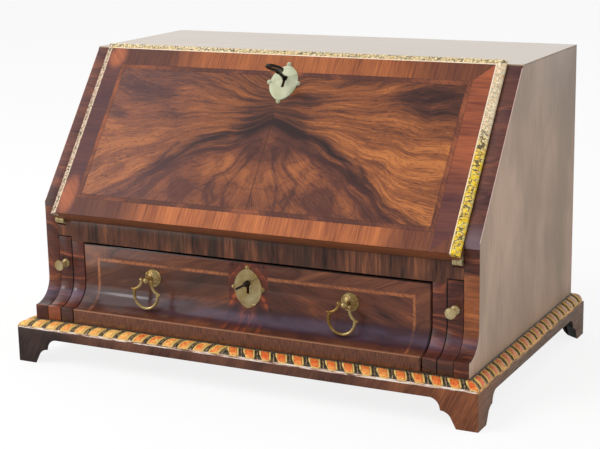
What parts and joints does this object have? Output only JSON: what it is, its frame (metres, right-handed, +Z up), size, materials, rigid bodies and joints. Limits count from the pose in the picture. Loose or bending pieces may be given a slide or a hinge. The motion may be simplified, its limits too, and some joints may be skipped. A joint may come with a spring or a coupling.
{
  "type": "letter writing box with drawer",
  "caption": "Slant-front box on bracket feet with a fall front that opens onto pull-out supports, a nest of pigeonholes and small drawers, and a shaped long drawer below.",
  "frame": {"origin": "centre of the bounding box's footprint, on the surface that the feet stand on", "axes": "+X to the right seen from the front and the longest way, +Y to the back, +Z up"},
  "size_m": [0.4876, 0.3096, 0.3033],
  "materials": {
    "side_walnut": "waxed",
    "top_walnut": "waxed",
    "inner_walnut": "waxed",
    "oak": "matte",
    "front_walnut": "waxed",
    "drawer_walnut": "waxed",
    "plinth_walnut": "waxed",
    "back_foot_wood": "matte",
    "gilt_wood": "gilded",
    "figured_walnut": "waxed",
    "feather_walnut": "waxed",
    "crossband_walnut": "waxed",
    "lining_leather": "satin",
    "brass": "satin",
    "pale_brass": "satin",
    "steel": "satin",
    "dark_steel": "satin"
  },
  "bodies": {
    "case": {"side_left": "side_walnut", "side_right": "side_walnut", "top_board": "inner_walnut", "top_veneer": "top_walnut", "back_board": "oak", "bottom_board": "oak", "writing_bed": "inner_walnut", "front_rail": "front_walnut", "partition_left": "front_walnut", "partition_right": "front_walnut", "drawer_stops": "oak", "plinth_front": "plinth_walnut", "plinth_left": "plinth_walnut", "plinth_right": "plinth_walnut", "rear_brackets": "back_foot_wood", "plinth_blocks": "oak", "base_moulding_front": "gilt_wood", "base_moulding_left": "gilt_wood", "base_moulding_right": "gilt_wood", "lock_keeps": "steel", "case_hinges": "brass", "hinge_pins": "steel", "nest_shelf": "inner_walnut", "nest_dividers": "inner_walnut", "nest_valances": "inner_walnut"},
    "fall": {"fall_board": "inner_walnut", "fall_veneer": "figured_walnut", "fall_feather_banding": "feather_walnut", "fall_crossbanding": "crossband_walnut", "fall_moulding_left": "gilt_wood", "fall_moulding_right": "gilt_wood", "fall_moulding_top": "gilt_wood", "writing_lining": "lining_leather", "fall_hinges": "brass", "fall_escutcheon": "pale_brass", "fall_escutcheon_studs": "pale_brass", "fall_lock": "steel"},
    "fall_bolt": {"fall_bolt": "steel"},
    "fall_key": {"fall_key": "dark_steel"},
    "drawer": {"drawer_front": "drawer_walnut", "drawer_box": "oak", "drawer_bottom": "oak", "handle_roses": "brass", "handle_posts": "brass", "drawer_escutcheon": "brass", "drawer_escutcheon_studs": "brass", "drawer_lock": "steel"},
    "drawer_bolt": {"drawer_bolt": "steel"},
    "drawer_key": {"drawer_key": "dark_steel"},
    "bail_left": {"bail_left": "brass"},
    "bail_right": {"bail_right": "brass"},
    "loper_left": {"loper_left": "front_walnut", "loper_knob_left": "brass"},
    "loper_right": {"loper_right": "front_walnut", "loper_knob_right": "brass"},
    "inner_drawer_left": {"inner_drawer_left": "inner_walnut", "inner_knob_left": "brass"},
    "inner_drawer_right": {"inner_drawer_right": "inner_walnut", "inner_knob_right": "brass"}
  },
  "joints": [
    {"name": "fall_hinge", "type": "hinge", "parent": "case", "child": "fall", "pos_m": [0, -0.11775, 0.14], "axis": [1, 0, 0], "range_deg": [0, 127.27]},
    {"name": "loper_left_slide", "type": "slide", "parent": "case", "child": "loper_left", "axis": [0, -1, 0], "range_m": [0, 0.15]},
    {"name": "loper_right_slide", "type": "slide", "parent": "case", "child": "loper_right", "axis": [0, -1, 0], "range_m": [0, 0.15]},
    {"name": "drawer_slide", "type": "slide", "parent": "case", "child": "drawer", "axis": [0, -1, 0], "range_m": [0, 0.2]},
    {"name": "bail_left_swing", "type": "hinge", "parent": "drawer", "child": "bail_left", "pos_m": [-0.1055, -0.12865, 0.091], "axis": [-0.9945, 0, 0.1045], "range_deg": [0, 90]},
    {"name": "bail_right_swing", "type": "hinge", "parent": "drawer", "child": "bail_right", "pos_m": [0.1055, -0.12865, 0.091], "axis": [-0.9781, 0, 0.2079], "range_deg": [0, 90]},
    {"name": "fall_key_turn", "type": "hinge", "parent": "fall", "child": "fall_key", "pos_m": [0, -0.03423, 0.27979], "axis": [0, 0.8547, -0.5191], "range_deg": [0, 155]},
    {"name": "drawer_key_turn", "type": "hinge", "parent": "drawer", "child": "drawer_key", "pos_m": [0, -0.11785, 0.0973], "axis": [0, 1, 0], "range_deg": [0, 155]},
    {"name": "fall_bolt_throw", "type": "slide", "parent": "fall", "child": "fall_bolt", "axis": [0, 0.6056, 0.7958], "range_m": [0, 0.008]},
    {"name": "drawer_bolt_throw", "type": "slide", "parent": "drawer", "child": "drawer_bolt", "axis": [0, 0, 1], "range_m": [0, 0.0048]},
    {"name": "inner_drawer_left_slide", "type": "slide", "parent": "case", "child": "inner_drawer_left", "axis": [0, -1, 0], "range_m": [0, 0.08]},
    {"name": "inner_drawer_right_slide", "type": "slide", "parent": "case", "child": "inner_drawer_right", "axis": [0, -1, 0], "range_m": [0, 0.08]}
  ],
  "couplings": [
    {"joint": "fall_key_turn", "follows": "fall_bolt_throw", "rad_per_m": 196.3},
    {"joint": "drawer_key_turn", "follows": "drawer_bolt_throw", "rad_per_m": 327.2}
  ]
}
